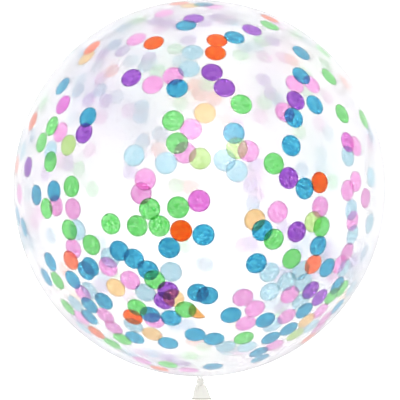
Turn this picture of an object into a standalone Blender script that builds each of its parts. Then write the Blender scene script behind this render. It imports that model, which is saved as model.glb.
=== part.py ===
"""Giant round balloon of clear latex, blown up, knotted shut and lying on its side.

Metres, +Z up. The axis of the balloon runs along Y, with the crown towards +Y and the knotted tail towards
-Y. The origin is the middle of the small flat patch that the skin makes on the floor. The balloon is one
dipped piece of latex. The ball is sealed by the knot, so it is solid here. The tail past the knot is open: a
hollow, flattened bell of latex that ends in a rolled rim.
"""

import math

import bmesh
import bpy
from mathutils import Matrix

# Ball: a round skin, a little longer along its axis than across
BALL_DIAMETER = 0.900
BALL_LENGTH = 0.910
FLOOR_PATCH_DIAMETER = 0.120

# Neck: the skin draws in to it from a mouth in the ball, and gathers in folds
NECK_MOUTH_DIAMETER = 0.062
NECK_DIAMETER = 0.0125
NECK_LENGTH = 0.0110
NECK_FOLD_DEPTH = 0.0011

# Knot: two rolls of latex that cross round the neck
KNOT_LENGTH = 0.0150
KNOT_WIDTH = 0.0190
KNOT_DEPTH = 0.0165
KNOT_ROLL_THICKNESS = 0.0042
KNOT_ROLL_TILT = math.radians(14)

# Skirt: the free end of the neck, which opens below the knot and flattens towards its rim
SKIRT_LENGTH = 0.0335
SKIRT_TOP_WIDTH = 0.0160
SKIRT_TOP_DEPTH = 0.0140
SKIRT_RIM_WIDTH = 0.0435
SKIRT_RIM_DEPTH = 0.0125
SKIRT_FOLD_DEPTH = 0.0014
LATEX_WALL = 0.0006
RIM_BEAD_DIAMETER = 0.0036

# The tail leans a little to one side, and its folds are uneven: so many of each kind go round the neck
TAIL_LEAN = math.radians(5)
WIDE_FOLDS, NARROW_FOLDS = 5, 9
WIDE_FOLD_SHARE = 0.55

# Divisions of the round forms
STEPS_AROUND = 56
BALL_STEPS = 40
NECK_STEPS = 5
KNOT_STEPS = 11
SKIRT_STEPS = 6
BEAD_STEPS = 6

# Latex
LATEX_COLOUR = (0.93, 0.92, 0.89, 1.0)
LATEX_ROUGHNESS = 0.12
LATEX_CLEARNESS = 0.9

HALF_LENGTH = BALL_LENGTH / 2
CENTRE_HEIGHT = math.sqrt((BALL_DIAMETER / 2) ** 2 - (FLOOR_PATCH_DIAMETER / 2) ** 2)
MOUTH_PLACE = -HALF_LENGTH * math.sqrt(1 - (NECK_MOUTH_DIAMETER / BALL_DIAMETER) ** 2)
KNOT_TOP = -HALF_LENGTH - NECK_LENGTH
KNOT_BOTTOM = KNOT_TOP - KNOT_LENGTH
SKIRT_BOTTOM = KNOT_BOTTOM - SKIRT_LENGTH


def folds(angle):
    """The uneven folds of gathered latex round the axis, between -1 and 1."""
    wide = math.cos(WIDE_FOLDS * angle + 0.5)
    narrow = math.cos(NARROW_FOLDS * angle - 1.1)
    return WIDE_FOLD_SHARE * wide + (1 - WIDE_FOLD_SHARE) * narrow


def oval(y, half_width, half_depth, fold_depth=0.0):
    """A ring across the tail at y, as a function of the angle round the axis."""
    middle = (MOUTH_PLACE - y) * math.tan(TAIL_LEAN)

    def point(angle):
        fold = fold_depth * folds(angle)
        across = (half_width + fold) * math.cos(angle)
        up = (half_depth + fold) * math.sin(angle)
        return (middle + across, y, CENTRE_HEIGHT + up)

    return point


def neck_rings():
    """A quarter of an ellipse, from the mouth in the ball down to the knot, with deepening folds."""
    reach = (NECK_MOUTH_DIAMETER - NECK_DIAMETER) / 2
    for i in range(1, NECK_STEPS + 1):
        turn = i / NECK_STEPS * math.pi / 2
        radius = NECK_MOUTH_DIAMETER / 2 - reach * math.sin(turn)
        y = MOUTH_PLACE + (KNOT_TOP - MOUTH_PLACE) * (1 - math.cos(turn))
        yield oval(y, radius, radius, NECK_FOLD_DEPTH * math.sin(turn) ** 2)


def roll_height(distance):
    """How far a half-round roll stands out, at a distance along the neck from its middle."""
    share = distance / KNOT_ROLL_THICKNESS
    return KNOT_ROLL_THICKNESS * math.sqrt(max(0.0, 1 - share**2))


def knot_ring(y):
    """Both rolls go round the neck. They lean opposite ways, so that they part on one side and cross twice."""
    core_width = KNOT_WIDTH / 2 - KNOT_ROLL_THICKNESS
    core_depth = KNOT_DEPTH / 2 - KNOT_ROLL_THICKNESS
    swing = math.tan(KNOT_ROLL_TILT) * KNOT_WIDTH / 2
    apart = KNOT_LENGTH / 2 - KNOT_ROLL_THICKNESS - swing
    middle = (KNOT_TOP + KNOT_BOTTOM) / 2

    def point(angle):
        offset = apart + swing * math.cos(angle + 0.6)
        height = max(roll_height(y - middle - offset), roll_height(y - middle + offset))
        return oval(y, core_width + height, core_depth + height)(angle)

    return point


def skirt_ring(share, inset=0.0):
    """A ring of the bell, from the knot at 0 to the rim at 1. The inner face has the wall as its inset."""
    half_width = (SKIRT_TOP_WIDTH + (SKIRT_RIM_WIDTH - SKIRT_TOP_WIDTH) * math.sqrt(share)) / 2
    half_depth = (SKIRT_TOP_DEPTH + (SKIRT_RIM_DEPTH - SKIRT_TOP_DEPTH) * share) / 2
    y = KNOT_BOTTOM - SKIRT_LENGTH * share
    return oval(y, half_width - inset, half_depth - inset, SKIRT_FOLD_DEPTH * (1 - share) ** 2)


def bead_rings():
    """The rim is rolled outwards. The bead starts on the bell's outer face and ends flush with its inner face."""
    half = RIM_BEAD_DIAMETER / 2
    width = SKIRT_RIM_WIDTH / 2 - LATEX_WALL + half
    depth = SKIRT_RIM_DEPTH / 2 - LATEX_WALL + half
    first = -math.acos(LATEX_WALL / half - 1)
    for i in range(BEAD_STEPS + 1):
        turn = first + (math.pi - first) * i / BEAD_STEPS
        out = half * math.cos(turn)
        yield oval(SKIRT_BOTTOM - half * (1 + math.sin(turn)), width + out, depth + out)


def tail_rings():
    """Every ring past the ball: neck, knot, skirt, rim, and back up inside the skirt to the knot."""
    yield from neck_rings()
    for i in range(1, KNOT_STEPS):
        yield knot_ring(KNOT_TOP - KNOT_LENGTH * i / KNOT_STEPS)
    shares = [(i / SKIRT_STEPS) ** 2 for i in range(1, SKIRT_STEPS + 1)]
    for share in shares:
        yield skirt_ring(share)
    yield from bead_rings()
    for share in reversed(shares):
        yield skirt_ring(share, inset=LATEX_WALL)


def cut_flat(mesh, point, outwards):
    """Takes away what lies past a plane."""
    bmesh.ops.bisect_plane(
        mesh,
        geom=mesh.verts[:] + mesh.edges[:] + mesh.faces[:],
        plane_co=point,
        plane_no=outwards,
        clear_outer=True,
    )


def open_edges(items):
    return [item for item in items if isinstance(item, bmesh.types.BMEdge) and item.is_boundary]


def add_ball(mesh):
    """A round ball with its poles on the Y axis, open at the neck's mouth and flat on the floor."""
    to_y_axis = Matrix.Rotation(math.radians(90), 4, "X")
    to_size = Matrix.Diagonal((BALL_DIAMETER / 2, HALF_LENGTH, BALL_DIAMETER / 2, 1))
    lifted = Matrix.Translation((0, 0, CENTRE_HEIGHT))
    bmesh.ops.create_uvsphere(
        mesh,
        u_segments=STEPS_AROUND,
        v_segments=BALL_STEPS,
        radius=1,
        matrix=lifted @ to_size @ to_y_axis,
    )
    cut_flat(mesh, (0, MOUTH_PLACE, 0), (0, -1, 0))
    mouth = open_edges(mesh.edges)
    cut_flat(mesh, (0, 0, 0), (0, 0, -1))
    patch = [edge for edge in open_edges(mesh.edges) if edge not in mouth]
    bmesh.ops.holes_fill(mesh, edges=patch)


def add_tail(mesh):
    """The mouth's edge is drawn out ring by ring. Each point keeps its angle round the axis."""
    angle_of = mesh.verts.layers.float.new("angle")
    edges = open_edges(mesh.edges)
    for vert in {vert for edge in edges for vert in edge.verts}:
        vert[angle_of] = math.atan2(vert.co.z - CENTRE_HEIGHT, vert.co.x)
    for ring in tail_rings():
        drawn = bmesh.ops.extrude_edge_only(mesh, edges=edges)["geom"]
        for vert in (item for item in drawn if isinstance(item, bmesh.types.BMVert)):
            vert.co = ring(vert[angle_of])
        edges = open_edges(drawn)
    bmesh.ops.holes_fill(mesh, edges=edges)


def clear_latex():
    material = bpy.data.materials.new("clear_latex")
    material.use_nodes = True
    shader = material.node_tree.nodes["Principled BSDF"]
    shader.inputs["Base Color"].default_value = LATEX_COLOUR
    shader.inputs["Roughness"].default_value = LATEX_ROUGHNESS
    shader.inputs["Metallic"].default_value = 0.0
    shader.inputs["Transmission Weight"].default_value = LATEX_CLEARNESS
    return material


def make_balloon():
    """The whole balloon, ball and tail, as the one piece that it is dipped as."""
    mesh = bmesh.new()
    add_ball(mesh)
    add_tail(mesh)
    bmesh.ops.recalc_face_normals(mesh, faces=mesh.faces[:])
    data = bpy.data.meshes.new("balloon")
    mesh.to_mesh(data)
    mesh.free()
    data.shade_smooth()
    data.set_sharp_from_angle(angle=math.radians(40))
    data.materials.append(clear_latex())
    balloon = bpy.data.objects.new("balloon", data)
    bpy.context.scene.collection.objects.link(balloon)


for old in list(bpy.data.objects):
    bpy.data.objects.remove(old)

make_balloon()
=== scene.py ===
"""Looks of a giant round confetti balloon that lies on its side, with its crown towards +Y and its knotted
tail towards -Y. Metres, +Z up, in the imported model's own frame.
"""

import math
import random

import bmesh
import bpy
from mathutils import Matrix, Vector


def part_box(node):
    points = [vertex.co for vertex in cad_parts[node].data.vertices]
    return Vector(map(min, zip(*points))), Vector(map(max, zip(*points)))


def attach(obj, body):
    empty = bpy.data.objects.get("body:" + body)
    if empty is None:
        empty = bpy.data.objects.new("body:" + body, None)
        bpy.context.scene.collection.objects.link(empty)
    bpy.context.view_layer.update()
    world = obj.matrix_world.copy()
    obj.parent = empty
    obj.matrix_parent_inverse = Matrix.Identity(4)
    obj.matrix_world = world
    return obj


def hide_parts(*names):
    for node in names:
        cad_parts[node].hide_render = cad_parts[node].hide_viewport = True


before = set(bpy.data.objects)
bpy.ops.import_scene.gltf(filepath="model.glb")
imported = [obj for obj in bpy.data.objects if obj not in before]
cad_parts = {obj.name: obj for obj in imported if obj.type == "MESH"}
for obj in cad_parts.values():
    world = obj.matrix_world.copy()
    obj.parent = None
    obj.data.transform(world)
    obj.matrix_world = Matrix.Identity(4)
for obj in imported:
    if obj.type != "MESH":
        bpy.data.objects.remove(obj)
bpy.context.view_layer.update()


# Camera
# The balloon was pictured square to its axis, from well away. It lies down here, so the camera looks straight
# down on it from about three metres, with the crown at the top of the picture and the tail at the bottom.
PICTURE_SIDE = 400
FOCAL_PIXELS = 1045
SENSOR_MM = 36
CAMERA_PLACE = Vector((0.0012, -0.028, 3.011))

lens = bpy.data.cameras.new("camera")
lens.sensor_width = SENSOR_MM
lens.lens = SENSOR_MM * FOCAL_PIXELS / PICTURE_SIDE
camera = bpy.data.objects.new("camera", lens)
camera.location = CAMERA_PLACE
bpy.context.scene.collection.objects.link(camera)
bpy.context.scene.camera = camera


# Balloon
# One dipped piece of clear latex, blown up until its skin is about 0.15 mm thick, and knotted shut. The neck
# gathers in pleats above the knot. Past the knot the latex is slack, thicker and milky: a flattened skirt
# that ends in the rolled rim.
box_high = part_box("balloon")[1]
BALL_RADIUS = box_high.x
HALF_LENGTH = box_high.y
CENTRE = Vector((0, 0, box_high.z - BALL_RADIUS))
BALL_WALL = 0.00015

NECK_MOUTH_DIAMETER = 0.062
NECK_DIAMETER = 0.0125
NECK_LENGTH = 0.0110
NECK_FOLD_DEPTH = 0.0011
NECK_WALL = 0.0025

KNOT_LENGTH = 0.0150
KNOT_WIDTH = 0.0190
KNOT_DEPTH = 0.0165
KNOT_ROLL_THICKNESS = 0.0042
KNOT_ROLL_TILT = math.radians(14)
KNOT_CREASE_DEPTH = 0.0003

SKIRT_LENGTH = 0.0335
SKIRT_TOP_WIDTH = 0.0160
SKIRT_TOP_DEPTH = 0.0140
SKIRT_RIM_WIDTH = 0.0435
SKIRT_RIM_DEPTH = 0.0125
SKIRT_FOLD_DEPTH = 0.0014
SKIRT_FLUTE_DEPTH = 0.0005
SKIRT_WALL = 0.0006
RIM_BEAD_DIAMETER = 0.0036

TAIL_LEAN = math.radians(5)
WIDE_FOLDS, NARROW_FOLDS = 5, 9
WIDE_FOLD_SHARE = 0.55
CREASES_ROUND_KNOT = 23
FLUTES_ROUND_SKIRT = 7

# The phase of each wave round the axis, and how far the creases' phase runs along the knot, in radians
WIDE_FOLD_PHASE, NARROW_FOLD_PHASE = 0.5, -1.1
KNOT_PHASE = 0.6
FLUTE_PHASE = 1.9
CREASE_TWIST = 4

SHARP_EDGE = math.radians(40)
STEPS_AROUND = 144
BALL_STEPS = 96
NECK_STEPS = 12
KNOT_STEPS = 26
SKIRT_STEPS = 18
BEAD_STEPS = 14

MOUTH_PLACE = -HALF_LENGTH * math.sqrt(1 - (NECK_MOUTH_DIAMETER / 2 / BALL_RADIUS) ** 2)
KNOT_TOP = -HALF_LENGTH - NECK_LENGTH
KNOT_BOTTOM = KNOT_TOP - KNOT_LENGTH
SKIRT_BOTTOM = KNOT_BOTTOM - SKIRT_LENGTH

OUTSIDE, INSIDE, TAIL = range(3)


def folds(angle):
    """The uneven folds of gathered latex round the axis, between -1 and 1."""
    wide = math.cos(WIDE_FOLDS * angle + WIDE_FOLD_PHASE)
    narrow = math.cos(NARROW_FOLDS * angle + NARROW_FOLD_PHASE)
    return WIDE_FOLD_SHARE * wide + (1 - WIDE_FOLD_SHARE) * narrow


def oval(y, half_width, half_depth, fold=lambda angle: 0.0):
    """A ring across the tail at y, as a function of the angle round the axis."""
    middle = (MOUTH_PLACE - y) * math.tan(TAIL_LEAN)

    def point(angle):
        across = (half_width + fold(angle)) * math.cos(angle)
        up = (half_depth + fold(angle)) * math.sin(angle)
        return Vector((middle + across, y, CENTRE.z + up))

    return point


def neck_rings(wall=0.0):
    """A quarter of an ellipse, from the mouth in the ball down to the knot, with deepening pleats."""
    reach = (NECK_MOUTH_DIAMETER - NECK_DIAMETER) / 2
    for i in range(1, NECK_STEPS + 1):
        turn = i / NECK_STEPS * math.pi / 2
        depth = NECK_FOLD_DEPTH * math.sin(turn) ** 2
        radius = NECK_MOUTH_DIAMETER / 2 - reach * math.sin(turn) - wall * math.sin(turn) ** 2
        y = MOUTH_PLACE + (KNOT_TOP + wall - MOUTH_PLACE) * (1 - math.cos(turn))
        yield oval(y, radius, radius, lambda angle, depth=depth: depth * folds(angle))


def roll_height(distance):
    """How far a half-round roll stands out, at a distance along the neck from its middle."""
    share = distance / KNOT_ROLL_THICKNESS
    return KNOT_ROLL_THICKNESS * math.sqrt(max(0.0, 1 - share**2))


def knot_ring(y):
    """Two rolls go round the neck. They lean opposite ways, so that they part on one side and cross twice."""
    core_width = KNOT_WIDTH / 2 - KNOT_ROLL_THICKNESS
    core_depth = KNOT_DEPTH / 2 - KNOT_ROLL_THICKNESS
    swing = math.tan(KNOT_ROLL_TILT) * KNOT_WIDTH / 2
    apart = KNOT_LENGTH / 2 - KNOT_ROLL_THICKNESS - swing
    middle = (KNOT_TOP + KNOT_BOTTOM) / 2

    def point(angle):
        offset = apart + swing * math.cos(angle + KNOT_PHASE)
        height = max(roll_height(y - middle - offset), roll_height(y - middle + offset))
        twist = (y - middle) / KNOT_LENGTH * CREASE_TWIST
        crease = KNOT_CREASE_DEPTH * math.cos(CREASES_ROUND_KNOT * angle + twist)
        return oval(y, core_width + height, core_depth + height, lambda angle: crease)(angle)

    return point


def skirt_ring(share, wall=0.0):
    """A ring of the bell, from the knot at 0 to the rim at 1."""
    half_width = (SKIRT_TOP_WIDTH + (SKIRT_RIM_WIDTH - SKIRT_TOP_WIDTH) * math.sqrt(share)) / 2
    half_depth = (SKIRT_TOP_DEPTH + (SKIRT_RIM_DEPTH - SKIRT_TOP_DEPTH) * share) / 2
    fold_depth = SKIRT_FOLD_DEPTH * (1 - share) ** 2
    flute_depth = SKIRT_FLUTE_DEPTH * (1 - share**3)

    def fold(angle):
        return fold_depth * folds(angle) + flute_depth * math.cos(FLUTES_ROUND_SKIRT * angle + FLUTE_PHASE)

    return oval(KNOT_BOTTOM - SKIRT_LENGTH * share, half_width - wall, half_depth - wall, fold)


def bead_rings():
    """The rim is rolled outwards. The bead starts on the skirt's outer face and ends flush with its inner
    face."""
    half = RIM_BEAD_DIAMETER / 2
    width = SKIRT_RIM_WIDTH / 2 - SKIRT_WALL + half
    depth = SKIRT_RIM_DEPTH / 2 - SKIRT_WALL + half
    first = -math.acos(SKIRT_WALL / half - 1)
    for i in range(BEAD_STEPS + 1):
        turn = first + (math.pi - first) * i / BEAD_STEPS
        out = half * math.cos(turn)
        yield oval(SKIRT_BOTTOM - half * (1 + math.sin(turn)), width + out, depth + out)


def tail_rings():
    """Every ring past the ball: neck, knot, skirt, rim, and back up inside the skirt to the knot."""
    yield from neck_rings()
    for i in range(1, KNOT_STEPS):
        yield knot_ring(KNOT_TOP - KNOT_LENGTH * i / KNOT_STEPS)
    shares = [(i / SKIRT_STEPS) ** 2 for i in range(1, SKIRT_STEPS + 1)]
    for share in shares:
        yield skirt_ring(share)
    yield from bead_rings()
    for share in reversed(shares):
        yield skirt_ring(share, wall=SKIRT_WALL)


def cut_flat(mesh, point, outwards):
    """Takes away what lies past a plane."""
    bmesh.ops.bisect_plane(
        mesh,
        geom=mesh.verts[:] + mesh.edges[:] + mesh.faces[:],
        plane_co=point,
        plane_no=outwards,
        clear_outer=True,
    )


def open_edges(items):
    return [item for item in items if isinstance(item, bmesh.types.BMEdge) and item.is_boundary]


def blow_up(mesh, wall):
    """A round ball with its poles on the Y axis, open at the neck's mouth and flat where it rests."""
    width = BALL_RADIUS - wall
    to_y_axis = Matrix.Rotation(math.radians(90), 4, "X")
    to_size = Matrix.Diagonal((width, HALF_LENGTH - wall, width, 1))
    bmesh.ops.create_uvsphere(
        mesh,
        u_segments=STEPS_AROUND,
        v_segments=BALL_STEPS,
        radius=1,
        matrix=Matrix.Translation(CENTRE) @ to_size @ to_y_axis,
    )
    cut_flat(mesh, (0, MOUTH_PLACE, 0), (0, -1, 0))
    mouth = open_edges(mesh.edges)
    cut_flat(mesh, (0, 0, wall), (0, 0, -1))
    patch = [edge for edge in open_edges(mesh.edges) if edge not in mouth]
    filled = bmesh.ops.holes_fill(mesh, edges=patch)["faces"]
    bmesh.ops.poke(mesh, faces=filled)


def draw_out(mesh, rings):
    """The mouth's edge is drawn out ring by ring and closed at its end. Each point keeps its angle."""
    angle_of = mesh.verts.layers.float.new("angle")
    edges = open_edges(mesh.edges)
    for vert in {vert for edge in edges for vert in edge.verts}:
        vert[angle_of] = math.atan2(vert.co.z - CENTRE.z, vert.co.x)
    for ring in rings:
        drawn = bmesh.ops.extrude_edge_only(mesh, edges=edges)["geom"]
        for vert in (item for item in drawn if isinstance(item, bmesh.types.BMVert)):
            vert.co = ring(vert[angle_of])
        edges = open_edges(drawn)
    filled = bmesh.ops.holes_fill(mesh, edges=edges)["faces"]
    bmesh.ops.poke(mesh, faces=filled)
    mesh.verts.layers.float.remove(angle_of)


def latex_face(mesh, rings, wall, finish):
    """One face of the skin: the outer one, or the cavity's, which ends in the pinched neck. The latex is
    stretched and clear as far as the upper half of the neck."""
    blow_up(mesh, wall)
    draw_out(mesh, rings)
    bmesh.ops.recalc_face_normals(mesh, faces=mesh.faces[:])
    for face in mesh.faces:
        slack = face.calc_center_median().y < KNOT_TOP + NECK_LENGTH / 2
        face.material_index = TAIL if slack and finish == OUTSIDE else finish
        face.smooth = True


def mesh_of(name, mesh):
    data = bpy.data.meshes.new(name)
    mesh.to_mesh(data)
    mesh.free()
    return data


def add_piece(name, data):
    piece = bpy.data.objects.new(name, data)
    bpy.context.scene.collection.objects.link(piece)
    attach(piece, "root")
    return piece


def new_material(name):
    """A material and its Principled shader."""
    material = bpy.data.materials.new(name)
    material.use_nodes = True
    return material, material.node_tree.nodes["Principled BSDF"]


def clear_latex():
    """Thin clear latex, glossy outside. It scatters light a little, so that only what touches it shows sharp,
    and it looks milky at a slant."""
    material, shader = new_material("clear_latex")
    shader.inputs["Base Color"].default_value = (0.99, 0.99, 0.99, 1)
    shader.inputs["Roughness"].default_value = 0.95
    shader.inputs["IOR"].default_value = 1.12
    shader.inputs["Transmission Weight"].default_value = 1
    shader.inputs["Alpha"].default_value = 0.79
    shader.inputs["Coat Weight"].default_value = 0.5
    shader.inputs["Coat IOR"].default_value = 1.6
    shader.inputs["Coat Roughness"].default_value = 0.3
    shader.inputs["Sheen Weight"].default_value = 1
    shader.inputs["Sheen Roughness"].default_value = 0.4
    return material


def dusted_latex():
    """The inner face, under the powder that keeps a balloon from sticking to itself. Seen at a slant, the
    powder takes more of the light."""
    material, shader = new_material("dusted_latex")
    shader.inputs["Base Color"].default_value = (1, 1, 1, 1)
    shader.inputs["Roughness"].default_value = 0.25
    shader.inputs["IOR"].default_value = 1.003
    shader.inputs["Transmission Weight"].default_value = 1
    shader.inputs["Coat Weight"].default_value = 1
    shader.inputs["Coat IOR"].default_value = 1.005
    shader.inputs["Coat Roughness"].default_value = 0.3
    shader.inputs["Coat Tint"].default_value = (0.98, 0.979, 0.98, 1)
    return material


def slack_latex():
    """Latex that isn't stretched: thick, milky and ivory. It fades in along the lower half of the neck, and
    is clearer in the skirt than in the knot. Its colour carries a painted shadow along the crease at the
    rolled rim."""
    material, shader = new_material("slack_latex")
    nodes = material.node_tree.nodes
    new_node = nodes.new
    links = material.node_tree.links
    places = new_node("ShaderNodeTexCoord")
    along = new_node("ShaderNodeSeparateXYZ")
    links.new(places.outputs["Object"], along.inputs["Vector"])
    milky = new_node("ShaderNodeMapRange")
    milky.inputs["From Min"].default_value = KNOT_TOP + NECK_LENGTH / 2
    milky.inputs["From Max"].default_value = KNOT_TOP
    milky.inputs["To Max"].default_value = 0.85
    links.new(along.outputs["Y"], milky.inputs["Value"])
    thin = new_node("ShaderNodeMapRange")
    thin.inputs["From Min"].default_value = KNOT_BOTTOM
    thin.inputs["From Max"].default_value = KNOT_BOTTOM - KNOT_ROLL_THICKNESS
    thin.inputs["To Min"].default_value = 1
    thin.inputs["To Max"].default_value = 0.7
    links.new(along.outputs["Y"], thin.inputs["Value"])
    dense = new_node("ShaderNodeMath")
    dense.operation = "MULTIPLY"
    links.new(milky.outputs["Result"], dense.inputs[0])
    links.new(thin.outputs["Result"], dense.inputs[1])

    cloud = new_node("ShaderNodeTexNoise")
    cloud.inputs["Scale"].default_value = 120
    cloud.inputs["Detail"].default_value = 3
    links.new(places.outputs["Object"], cloud.inputs["Vector"])
    tone = new_node("ShaderNodeMix")
    tone.data_type = "RGBA"
    tone.inputs["A"].default_value = (0.95, 0.945, 0.90, 1)
    tone.inputs["B"].default_value = (0.99, 0.985, 0.96, 1)
    links.new(cloud.outputs["Fac"], tone.inputs["Factor"])

    # Painted shadow: a dark line along the crease where the skirt meets the rolled rim. It is darkest at the
    # crease, fades out above it, and leaves a slight painted darkening over the bead.
    edge = new_node("ShaderNodeMapRange")
    edge.inputs["From Min"].default_value = SKIRT_BOTTOM + RIM_BEAD_DIAMETER / 2
    edge.inputs["From Max"].default_value = SKIRT_BOTTOM
    links.new(along.outputs["Y"], edge.inputs["Value"])
    rolled = new_node("ShaderNodeMix")
    rolled.data_type = "RGBA"
    rolled.inputs["B"].default_value = (0.55, 0.55, 0.46, 1)
    bead = new_node("ShaderNodeMapRange")
    bead.inputs["From Min"].default_value = SKIRT_BOTTOM
    bead.inputs["From Max"].default_value = SKIRT_BOTTOM - RIM_BEAD_DIAMETER / 2
    bead.inputs["To Min"].default_value = 1
    bead.inputs["To Max"].default_value = 0.1
    links.new(along.outputs["Y"], bead.inputs["Value"])
    crease = new_node("ShaderNodeMath")
    crease.operation = "MULTIPLY"
    links.new(edge.outputs["Result"], crease.inputs[0])
    links.new(bead.outputs["Result"], crease.inputs[1])
    links.new(crease.outputs["Value"], rolled.inputs["Factor"])
    links.new(tone.outputs["Result"], rolled.inputs["A"])
    links.new(rolled.outputs["Result"], shader.inputs["Base Color"])
    shader.inputs["Roughness"].default_value = 0.45

    glow = new_node("ShaderNodeBsdfTranslucent")
    links.new(rolled.outputs["Result"], glow.inputs["Color"])
    latex = new_node("ShaderNodeMixShader")
    latex.inputs["Fac"].default_value = 0.7
    links.new(shader.outputs["BSDF"], latex.inputs[1])
    links.new(glow.outputs["BSDF"], latex.inputs[2])
    clear = new_node("ShaderNodeBsdfTransparent")
    stretched = new_node("ShaderNodeMixShader")
    links.new(dense.outputs["Value"], stretched.inputs["Fac"])
    links.new(clear.outputs["BSDF"], stretched.inputs[1])
    links.new(latex.outputs["Shader"], stretched.inputs[2])
    links.new(stretched.outputs["Shader"], nodes["Material Output"].inputs["Surface"])
    return material


outer = bmesh.new()
latex_face(outer, tail_rings(), 0, OUTSIDE)
cavity = bmesh.new()
latex_face(cavity, neck_rings(NECK_WALL), BALL_WALL, INSIDE)
bmesh.ops.reverse_faces(cavity, faces=cavity.faces[:])
cavity_data = mesh_of("cavity", cavity)
outer.from_mesh(cavity_data)
bpy.data.meshes.remove(cavity_data)
skin_data = mesh_of("latex_balloon", outer)
skin_data.set_sharp_from_angle(angle=SHARP_EDGE)
skin_data.materials.append(clear_latex())
skin_data.materials.append(dusted_latex())
skin_data.materials.append(slack_latex())
balloon = add_piece("latex_balloon", skin_data)
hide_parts("balloon")


# Confetti
# Loose round discs cut from dyed tissue paper, pushed in through the neck before the balloon is blown up.
# They cling to the inside of the skin, and lie on top of each other where they cross. Each one's place is
# where its middle shows in the picture, in pixels, on the near side of the ball or faintly on the far side.
DISC_DIAMETER = 0.046
DISC_SIDES = 20
RIM_FROM = DISC_DIAMETER / 4
PAPER_THICKNESS = 0.00012
CLING_DEPTH = 0.0005
LAYER_PITCH = 0.0003
CUT_EDGE_START = 0.86
CUT_EDGE_SHADE = 0.5
LIGHT_MOTTLE, DARK_MOTTLE, MOTTLE_SHADE = 0.45, 0.5, 0.1
NEAR_FOR_EACH_UNSEEN = 4
OUTLINE_X, OUTLINE_Y, OUTLINE_PIXELS = 199.5, 188.6, 183

placed_discs = []
shades = random.Random(4)
unseen = random.Random(7)


def sight(x, y):
    """The direction in which the camera sees the place x, y of the picture, in pixels from its top left."""
    middle = PICTURE_SIDE / 2
    return Vector(((x - middle) / FOCAL_PIXELS, (middle - y) / FOCAL_PIXELS, -1)).normalized()


def onto_skin(point, depth):
    """The place on the skin's inner side, so deep under its outer face, straight out from the ball's
    middle."""
    out = point - CENTRE
    width = BALL_RADIUS - depth
    reach = Vector((out.x / width, out.y / (HALF_LENGTH - depth), out.z / width)).length
    place = CENTRE + out / reach
    place.z = max(place.z, depth)
    return place


def seen_on_skin(x, y, far):
    """Where the skin shows at the place x, y of the picture. Past the outline it is the outline's nearest
    part."""
    squash = Vector((1 / BALL_RADIUS, 1 / HALF_LENGTH, 1 / BALL_RADIUS))
    start = (CAMERA_PLACE - CENTRE) * squash
    way = sight(x, y) * squash
    middle = -start.dot(way) / way.dot(way)
    nearest = start + way * middle
    spare = max(0.0, 1 - nearest.dot(nearest))
    chord = math.sqrt(spare / way.dot(way))
    travel = middle + chord if far else middle - chord
    return onto_skin(CAMERA_PLACE + sight(x, y) * travel, CLING_DEPTH)


def free_layer(middle):
    """The first layer in which a disc with this middle lies clear of those placed before it."""
    crossed = [layer for other, layer in placed_discs if (other - middle).length < DISC_DIAMETER]
    layer = next(i for i in range(len(crossed) + 1) if i not in crossed)
    placed_discs.append((middle, layer))
    return layer


def flat_on_skin(middle):
    """The place and tilt of a flat disc that touches the skin at its middle."""
    outwards = middle - CENTRE
    return Matrix.Translation(middle) @ outwards.to_track_quat("Z", "Y").to_matrix().to_4x4()


def lay_disc(mesh, middle, rim, shade):
    """One disc, bent to the skin round its middle. It is a sheet until its group gets its thickness."""
    depth = CLING_DEPTH + LAYER_PITCH * free_layer(middle)
    made = bmesh.ops.create_circle(
        mesh,
        cap_ends=True,
        cap_tris=True,
        segments=DISC_SIDES,
        radius=DISC_DIAMETER / 2,
        matrix=flat_on_skin(middle),
    )["verts"]
    tone = shades.random()
    for vert in made:
        vert[rim] = float((vert.co - middle).length > RIM_FROM)
        vert[shade] = tone
    for vert in made:
        vert.co = onto_skin(vert.co, depth)


def lay_folded_disc(mesh, x, y, turn, rim, shade):
    """One near disc folded double, in a mesh that is still empty. Its fold runs at this angle, and both
    halves lie on the lower side of the fold."""
    middle = seen_on_skin(x, y, False)
    depth = CLING_DEPTH + LAYER_PITCH * free_layer(middle)
    place = flat_on_skin(middle) @ Matrix.Rotation(turn, 4, "Z")
    near_fold = DISC_DIAMETER / 100
    bmesh.ops.create_circle(mesh, cap_ends=True, cap_tris=True, segments=DISC_SIDES, radius=DISC_DIAMETER / 2)
    bmesh.ops.delete(mesh, geom=[vert for vert in mesh.verts if vert.co.y > near_fold], context="VERTS")
    fold = [edge for edge in mesh.edges if all(abs(vert.co.y) < near_fold for vert in edge.verts)]
    half = mesh.verts[:] + mesh.edges[:] + mesh.faces[:]
    under = bmesh.ops.duplicate(mesh, geom=half)["geom"]
    bend = bmesh.ops.extrude_edge_only(mesh, edges=fold)["geom"]
    lowered = [item for item in under + bend if isinstance(item, bmesh.types.BMVert)]
    for vert in lowered:
        vert.co.z = -LAYER_PITCH
    bmesh.ops.remove_doubles(mesh, verts=lowered, dist=LAYER_PITCH / 10)
    bmesh.ops.recalc_face_normals(mesh, faces=mesh.faces[:])
    tone = shades.random()
    for vert in mesh.verts:
        vert[rim] = float(vert.co.length > RIM_FROM)
        vert[shade] = tone
        vert.co = onto_skin(place @ Vector((vert.co.x, vert.co.y, 0)), depth - vert.co.z)


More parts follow.
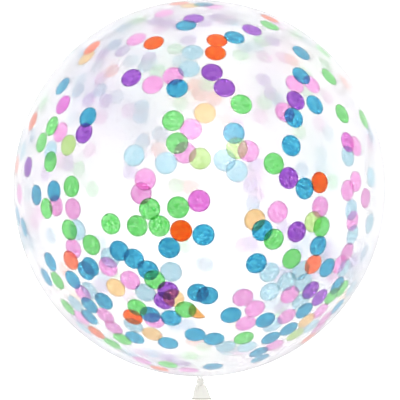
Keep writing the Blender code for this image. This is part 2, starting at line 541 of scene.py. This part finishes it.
def tissue_paper(name, colour, mottling):
    """Dyed tissue of the given colour against the light, of which each face carries the square root. It is
    mottled, darker at its cut edge, and so thin that discs that cross look darker."""
    material, shader = new_material(name)
    nodes = material.node_tree.nodes
    new_node = nodes.new
    links = material.node_tree.links

    def attribute(title):
        node = new_node("ShaderNodeAttribute")
        node.attribute_name = title
        return node.outputs["Fac"]

    def mixed(factor, a, b):
        node = new_node("ShaderNodeMix")
        node.data_type = "RGBA"
        for title, value in (("Factor", factor), ("A", a), ("B", b)):
            if isinstance(value, bpy.types.NodeSocket):
                links.new(value, node.inputs[title])
            else:
                node.inputs[title].default_value = value
        return node.outputs["Result"]

    places = new_node("ShaderNodeTexCoord")
    fibres = new_node("ShaderNodeTexNoise")
    fibres.inputs["Scale"].default_value = 200
    fibres.inputs["Detail"].default_value = 3
    fibres.inputs["Roughness"].default_value = 0.8
    links.new(places.outputs["Object"], fibres.inputs["Vector"])
    spread = new_node("ShaderNodeMapRange")
    spread.inputs["From Min"].default_value = 0.38
    spread.inputs["From Max"].default_value = 0.62
    links.new(fibres.outputs["Fac"], spread.inputs["Value"])

    face_dye = [math.sqrt(channel) for channel in colour]
    deepest = 1 - MOTTLE_SHADE * mottling
    light = [channel ** (1 - LIGHT_MOTTLE * mottling) for channel in face_dye] + [1]
    dark = [deepest * channel ** (1 + DARK_MOTTLE * mottling) for channel in face_dye] + [1]
    dye = mixed(spread.outputs["Result"], dark, light)
    strength = new_node("ShaderNodeMapRange")
    strength.inputs["To Min"].default_value = 0.96
    strength.inputs["To Max"].default_value = 1.04
    links.new(attribute("shade"), strength.inputs["Value"])
    shaded = new_node("ShaderNodeVectorMath")
    shaded.operation = "SCALE"
    links.new(dye, shaded.inputs["Vector"])
    links.new(strength.outputs["Result"], shaded.inputs["Scale"])

    edge = new_node("ShaderNodeMapRange")
    edge.inputs["From Min"].default_value = CUT_EDGE_START
    edge.inputs["From Max"].default_value = 1
    edge.inputs["To Max"].default_value = 0.45
    links.new(attribute("rim"), edge.inputs["Value"])
    cut = [channel * CUT_EDGE_SHADE for channel in face_dye] + [1]
    finished = mixed(edge.outputs["Result"], shaded.outputs["Vector"], cut)
    links.new(finished, shader.inputs["Base Color"])
    shader.inputs["Roughness"].default_value = 0.8
    shader.inputs["Specular IOR Level"].default_value = 0.1

    through = new_node("ShaderNodeBsdfTranslucent")
    links.new(finished, through.inputs["Color"])
    both = new_node("ShaderNodeMixShader")
    both.inputs["Fac"].default_value = 0.98
    links.new(shader.outputs["BSDF"], both.inputs[1])
    links.new(through.outputs["BSDF"], both.inputs[2])
    links.new(both.outputs["Shader"], nodes["Material Output"].inputs["Surface"])
    return material


def unseen_places(count):
    """Places on the far side, behind the crowd of near discs, near the upper outline, and in the belt that
    the picture shows edge-on. Each group has its first and last angle, in degrees clockwise from the
    picture's right, its nearest and furthest share of the outline's radius, and its number."""
    crowd = (25, 155, 0.6, 0.96, count)
    upper_edge = (190, 350, 0.7, 0.96, count // 6)
    belt = (0, 360, 0.965, 1, count // 2)
    for first, last, nearest, furthest, number in (crowd, upper_edge, belt):
        for i in range(number):
            turn = math.radians(unseen.uniform(first, last))
            reach = OUTLINE_PIXELS * math.sqrt(unseen.uniform(nearest**2, furthest**2))
            yield OUTLINE_X + reach * math.cos(turn), OUTLINE_Y + reach * math.sin(turn)


def strew(name, colour, mottling, near, far, folded=None):
    """All discs of one colour, as one piece, with some more where the picture hides or hardly shows them."""
    mesh = bmesh.new()
    rim = mesh.verts.layers.float.new("rim")
    shade = mesh.verts.layers.float.new("shade")
    if folded:
        lay_folded_disc(mesh, *folded, rim, shade)
    for x, y in near:
        lay_disc(mesh, seen_on_skin(x, y, False), rim, shade)
    for x, y in [*far, *unseen_places(len(near) // NEAR_FOR_EACH_UNSEEN)]:
        lay_disc(mesh, seen_on_skin(x, y, True), rim, shade)
    bmesh.ops.solidify(mesh, geom=mesh.faces[:], thickness=PAPER_THICKNESS)
    bmesh.ops.recalc_face_normals(mesh, faces=mesh.faces[:])
    data = mesh_of(name, mesh)
    data.materials.append(tissue_paper(name + "_tissue", colour, mottling))
    add_piece(name, data)


strew(
    "confetti_blue",
    (0.008, 0.41, 0.67),
    mottling=1.3,
    near=[
        (186, 25), (203.5, 4), (234.5, 37), (177, 88), (301.5, 52.5), (301.5, 75.5), (315, 104.5),
        (294, 117.5), (291.5, 145.5), (305, 188.5), (62, 86), (87.5, 117), (53.5, 191), (36, 195), (90, 267),
        (85.5, 271), (50, 262), (46, 277.5), (72.5, 280), (103.5, 301.5), (89, 305.5), (89, 317.5),
        (134.5, 338), (168, 343.5), (203.5, 235), (169, 248), (119, 251), (133.5, 259), (148, 270.5),
        (198, 293), (207.5, 296), (150, 315), (171, 318.5), (195, 335), (214, 339.5), (234, 133),
        (262.5, 230.5), (318.5, 246), (256.5, 263.5), (327.5, 268), (337.5, 286), (231, 315.5),
        (265.5, 320.5), (304.5, 311), (289, 329.5), (271, 338.5), (338, 307), (259, 352.5), (260, 359),
        (213, 367), (17.5, 216), (23.5, 227.5),
    ],
    far=[
        (99.5, 89.5), (141, 106), (140, 116), (142, 141), (159.5, 133.5), (161, 134.5), (253, 204),
        (203, 263), (206, 265), (302.5, 170), (69, 54), (145, 65), (180, 60), (232, 21), (245, 46),
        (277, 98), (372, 135), (50, 236),
    ],
)
strew(
    "confetti_green",
    (0.18, 0.83, 0.18),
    mottling=1.05,
    near=[
        (270, 25), (241.5, 104), (323.5, 51), (329.5, 76.5), (342.5, 113.5), (364, 119), (274, 163.5),
        (51.5, 126), (41, 142.5), (50, 161.5), (71, 186.5), (46, 208.5), (69, 230), (91, 245), (57, 281),
        (67.5, 307.5), (112, 344), (122, 339.5), (173, 120.5), (177, 143), (149.5, 209), (178, 207.5),
        (110.5, 224), (137, 226), (159, 226), (154.5, 280), (185.5, 310), (137, 308), (244, 338.5),
        (274, 239.5), (322, 227), (292, 259), (342.5, 289), (332, 296.5), (168, 365),
    ],
    far=[
        (180, 103), (265, 102), (92, 189), (176, 186), (157, 70), (78, 169), (206, 84), (204, 348),
        (333, 182), (175, 48), (241, 54), (262, 40), (300, 131), (307, 90), (184, 246),
    ],
)
strew(
    "confetti_pink",
    (1.0, 0.43, 0.83),
    mottling=1.0,
    near=[
        (164, 13), (214, 6), (136, 39), (152.5, 84.5), (173, 75.5), (295, 84), (312, 84), (285, 112),
        (356, 146), (356, 181.5), (348, 190.5), (366, 198), (353, 221), (347.5, 252.5), (340, 264.5),
        (60, 132), (55.5, 206), (72.5, 209), (19, 194), (73, 248.5), (82.5, 293.5), (81, 318), (105, 316),
        (113.5, 328), (191, 129), (185, 152.5), (145, 179.5), (141, 193.5), (130, 280.5), (108, 267),
        (154, 321), (248.5, 151), (278, 212), (320.5, 207), (290, 295), (243, 298), (255, 309), (246, 324),
        (287, 317), (321, 311), (325, 319), (318.5, 328), (274, 346), (142, 361), (189, 370.5),
    ],
    far=[
        (128, 110), (261, 116), (89, 150), (255, 175), (257, 195), (243, 246), (128, 297), (100, 77),
        (100, 117), (160, 28), (228, 18), (284, 57), (265, 56), (328, 96), (320, 124), (38, 212), (33, 222),
        (60, 160),
    ],
)
strew(
    "confetti_magenta",
    (0.88, 0.16, 0.76),
    mottling=1.2,
    near=[(62.5, 104.5), (199, 201), (348, 142)],
    far=[],
)
strew(
    "confetti_purple",
    (0.33, 0.048, 0.62),
    mottling=1.2,
    near=[
        (193.5, 18), (252, 29.5), (212, 72), (224.5, 87.5), (131, 77.5), (296, 100), (289, 178), (83.5, 133),
        (27.5, 167), (168, 291), (164, 301), (297, 232), (311, 290.5), (320, 298),
    ],
    far=[
        (264, 79), (188.5, 39), (148.5, 57), (122, 50), (88, 99), (105, 100.5), (236, 125), (67, 163),
        (129.5, 172), (251, 185), (251, 244), (284, 228), (168, 359), (183, 365), (101, 287), (101, 54),
        (155, 20), (168, 22), (180, 25), (204, 22), (218, 16), (273, 40), (272, 93), (256, 165), (44, 173),
        (354, 262),
    ],
)
strew(
    "confetti_orange",
    (1.0, 0.11, 0.001),
    mottling=0.8,
    near=[(217, 40), (215.5, 52.5), (153.5, 42.5), (320, 182.5), (181, 231), (132.5, 317.5)],
    far=[],
)
strew(
    "confetti_coral",
    (1.0, 0.21, 0.095),
    mottling=0.5,
    near=[
        (179, 3), (270, 18), (91.5, 47.5), (32.5, 121), (16.5, 165), (70.5, 260.5), (96, 333), (313.5, 264.5),
        (308.5, 338.5), (159.5, 369),
    ],
    far=[
        (158, 149), (194.5, 85), (200, 93.5), (214, 98), (191, 187), (111, 70), (225, 121), (292, 59),
    ],
)
strew(
    "confetti_peach",
    (1.0, 0.69, 0.33),
    mottling=0.5,
    near=[
        (190, 5), (86, 57), (152, 334.5), (205, 113), (115.5, 288), (173.5, 298.5), (255, 220), (307, 321),
    ],
    far=[],
    folded=(199.3, 311, math.radians(-54)),
)
strew(
    "confetti_aqua",
    (0.55, 0.83, 0.92),
    mottling=1.0,
    near=[
        (192.5, 52), (189, 68.5), (348.5, 156), (352, 210), (353, 235), (344.5, 268.5), (50, 151), (77, 230),
        (89, 291), (75, 304), (83.5, 328.5), (134, 155.5), (166, 163), (109.5, 258), (171, 272), (145, 293),
        (133, 326), (226, 347), (247, 347.5), (237, 171), (269.5, 272.5), (301, 271), (287, 282),
        (303.5, 283), (270, 292), (301, 302), (273, 325.5), (311.5, 326.5), (224.5, 160), (371.5, 177),
        (370, 223.5), (351.5, 289), (18.5, 148), (22.5, 151), (23, 241),
    ],
    far=[
        (27, 193), (97, 65), (117, 96), (329, 133), (322, 153), (322, 167), (72, 118), (80, 79), (130, 60),
        (256, 46),
    ],
)
strew(
    "confetti_lime",
    (0.61, 0.88, 0.30),
    mottling=1,
    near=[(68, 145), (200, 158.5), (237, 148), (313.5, 222), (295.5, 335)],
    far=[],
)


# Floor and light
# A plain white floor, lit softly from below like a light table and from above by a large soft lamp, in a
# room with pale walls and a dark ceiling. Light through the balloon shows the colours of the confetti. A
# second, smaller lamp gives the latex its soft highlight, and lights nothing else.
FLOOR_SIDE = 60
FLOOR_GAP = 0.0003
GLOW_UNDER_MIDDLE = 0.57
GLOW_GAIN_TOWARDS_TAIL = 0.4
LOWEST_GLOW, HIGHEST_GLOW = 0.5, 1.6

LAMP_DISTANCE = 3.0
WALL_PAST_TAIL = (1.2, 1.2, 1.2, 1)
WALL_PAST_CROWN = (0.65, 0.64, 0.70, 1)
CEILING = (0.10, 0.10, 0.11, 1)

floor_mesh = bmesh.new()
bmesh.ops.create_grid(
    floor_mesh, x_segments=1, y_segments=1, size=FLOOR_SIDE / 2, matrix=Matrix.Translation((0, 0, -FLOOR_GAP))
)
floor = bpy.data.objects.new("floor", mesh_of("floor", floor_mesh))
bpy.context.scene.collection.objects.link(floor)
white, white_shader = new_material("white_floor")
white_nodes = white.node_tree.nodes
white_links = white.node_tree.links
white_shader.inputs["Base Color"].default_value = (0.9, 0.9, 0.9, 1)
white_shader.inputs["Roughness"].default_value = 1
white_shader.inputs["Specular IOR Level"].default_value = 0
white_shader.inputs["Emission Color"].default_value = (1, 1, 1, 1)
floor.data.materials.append(white)
floor_places = white_nodes.new("ShaderNodeTexCoord")
glow_slope = white_nodes.new("ShaderNodeVectorMath")
glow_slope.operation = "DOT_PRODUCT"
glow_slope.inputs[1].default_value = (0, -GLOW_GAIN_TOWARDS_TAIL, 0)
white_links.new(floor_places.outputs["Object"], glow_slope.inputs[0])
glow = white_nodes.new("ShaderNodeMath")
glow.inputs[1].default_value = GLOW_UNDER_MIDDLE
white_links.new(glow_slope.outputs["Value"], glow.inputs[0])
glow_limit = white_nodes.new("ShaderNodeClamp")
glow_limit.inputs["Min"].default_value = LOWEST_GLOW
glow_limit.inputs["Max"].default_value = HIGHEST_GLOW
white_links.new(glow.outputs["Value"], glow_limit.inputs["Value"])
white_links.new(glow_limit.outputs["Result"], white_shader.inputs["Emission Strength"])


def add_lamp(name, way, size, energy):
    """A round soft lamp this way from the middle of the ball, which it faces."""
    lamp_data = bpy.data.lights.new(name, "AREA")
    lamp_data.shape = "DISK"
    lamp_data.size = size
    lamp_data.energy = energy
    lamp = bpy.data.objects.new(name, lamp_data)
    lamp.location = CENTRE + Vector(way).normalized() * LAMP_DISTANCE
    lamp.rotation_euler = Vector(way).to_track_quat("Z", "Y").to_euler()
    bpy.context.scene.collection.objects.link(lamp)
    return lamp


add_lamp("soft_lamp", way=(0, 0.43, 0.9), size=2.2, energy=60)
highlight_lamp = add_lamp("highlight_lamp", way=(0.22, 0.43, 0.875), size=1.3, energy=60)
highlight_lamp.visible_diffuse = False
highlight_lamp.visible_transmission = False

world = bpy.data.worlds.new("pale_room")
world.use_nodes = True
bpy.context.scene.world = world
room_nodes = world.node_tree.nodes
room_links = world.node_tree.links
ways = room_nodes.new("ShaderNodeTexCoord")
height = room_nodes.new("ShaderNodeSeparateXYZ")
room_links.new(ways.outputs["Generated"], height.inputs["Vector"])
room_tone = room_nodes.new("ShaderNodeMix")
room_tone.data_type = "RGBA"
room_tone.inputs["B"].default_value = CEILING
walls = room_nodes.new("ShaderNodeMix")
walls.data_type = "RGBA"
walls.inputs["A"].default_value = WALL_PAST_TAIL
walls.inputs["B"].default_value = WALL_PAST_CROWN
wall_side = room_nodes.new("ShaderNodeMapRange")
wall_side.inputs["From Min"].default_value = -1
room_links.new(height.outputs["Y"], wall_side.inputs["Value"])
room_links.new(wall_side.outputs["Result"], walls.inputs["Factor"])
room_links.new(walls.outputs["Result"], room_tone.inputs["A"])
room_links.new(height.outputs["Z"], room_tone.inputs["Factor"])
room_links.new(room_tone.outputs["Result"], room_nodes["Background"].inputs["Color"])

scene = bpy.context.scene
scene.view_settings.view_transform = "Standard"
scene.cycles.max_bounces = 32
scene.cycles.diffuse_bounces = 12
scene.cycles.glossy_bounces = 12
scene.cycles.transmission_bounces = 28
scene.cycles.transparent_max_bounces = 32
